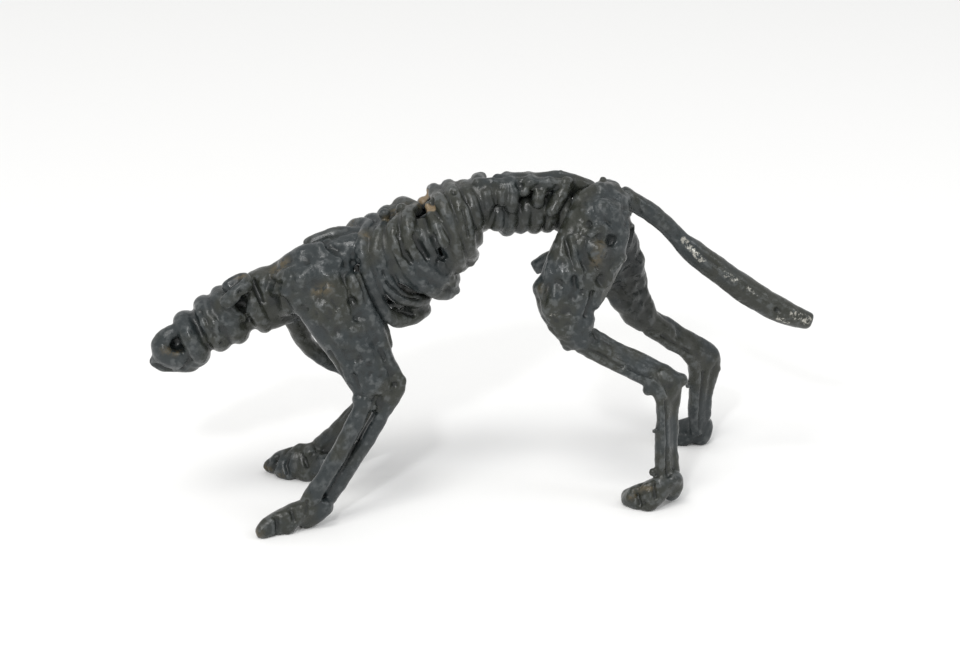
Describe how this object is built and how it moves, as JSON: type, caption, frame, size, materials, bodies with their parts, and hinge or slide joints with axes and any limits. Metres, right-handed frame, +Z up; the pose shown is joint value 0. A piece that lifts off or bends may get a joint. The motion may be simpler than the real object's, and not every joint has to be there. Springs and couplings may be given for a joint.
{
  "type": "wire dog sculpture",
  "caption": "Prowling hound bent and brazed from thick steel wire, painted satin black, with open ribs and a low head; it stands on its four paws.",
  "frame": {"origin": "under the middle of the dog's box, on the ground", "axes": "-X is where the head points, +X is the tail, -Y is the dog's left side, +Z is up"},
  "size_m": [0.181, 0.0498, 0.0896],
  "materials": {
    "black_paint": "satin black paint over rough brazed steel, worn lighter on the crests",
    "chipped_paint": "satin black paint, chipped to bare silvery metal in places"
  },
  "bodies": {
    "root": {"head_coil": "black_paint", "left_ear": "black_paint", "left_foreleg_front_rod": "black_paint", "left_foreleg_rear_rod": "black_paint", "left_forepaw": "black_paint", "left_haunch": "black_paint", "left_hind_leg_front_wire": "black_paint", "left_hind_leg_rear_wire": "black_paint", "left_hind_paw": "black_paint", "left_short_rib_1": "black_paint", "left_short_rib_2": "black_paint", "left_shoulder": "black_paint", "neck": "black_paint", "nose": "black_paint", "rib_1": "black_paint", "rib_2": "black_paint", "rib_3": "black_paint", "rib_4": "black_paint", "rib_5": "black_paint", "rib_6": "black_paint", "rib_7": "black_paint", "rib_8": "black_paint", "right_ear": "black_paint", "right_foreleg_front_rod": "black_paint", "right_foreleg_rear_rod": "black_paint", "right_forepaw": "black_paint", "right_haunch": "black_paint", "right_hind_leg_front_wire": "black_paint", "right_hind_leg_rear_wire": "black_paint", "right_hind_paw": "black_paint", "right_short_rib_1": "black_paint", "right_short_rib_2": "black_paint", "right_shoulder": "black_paint", "sheath_stub": "black_paint", "spine_rod": "black_paint", "tail": "chipped_paint", "waist_coil": "black_paint"}
  },
  "joints": []
}
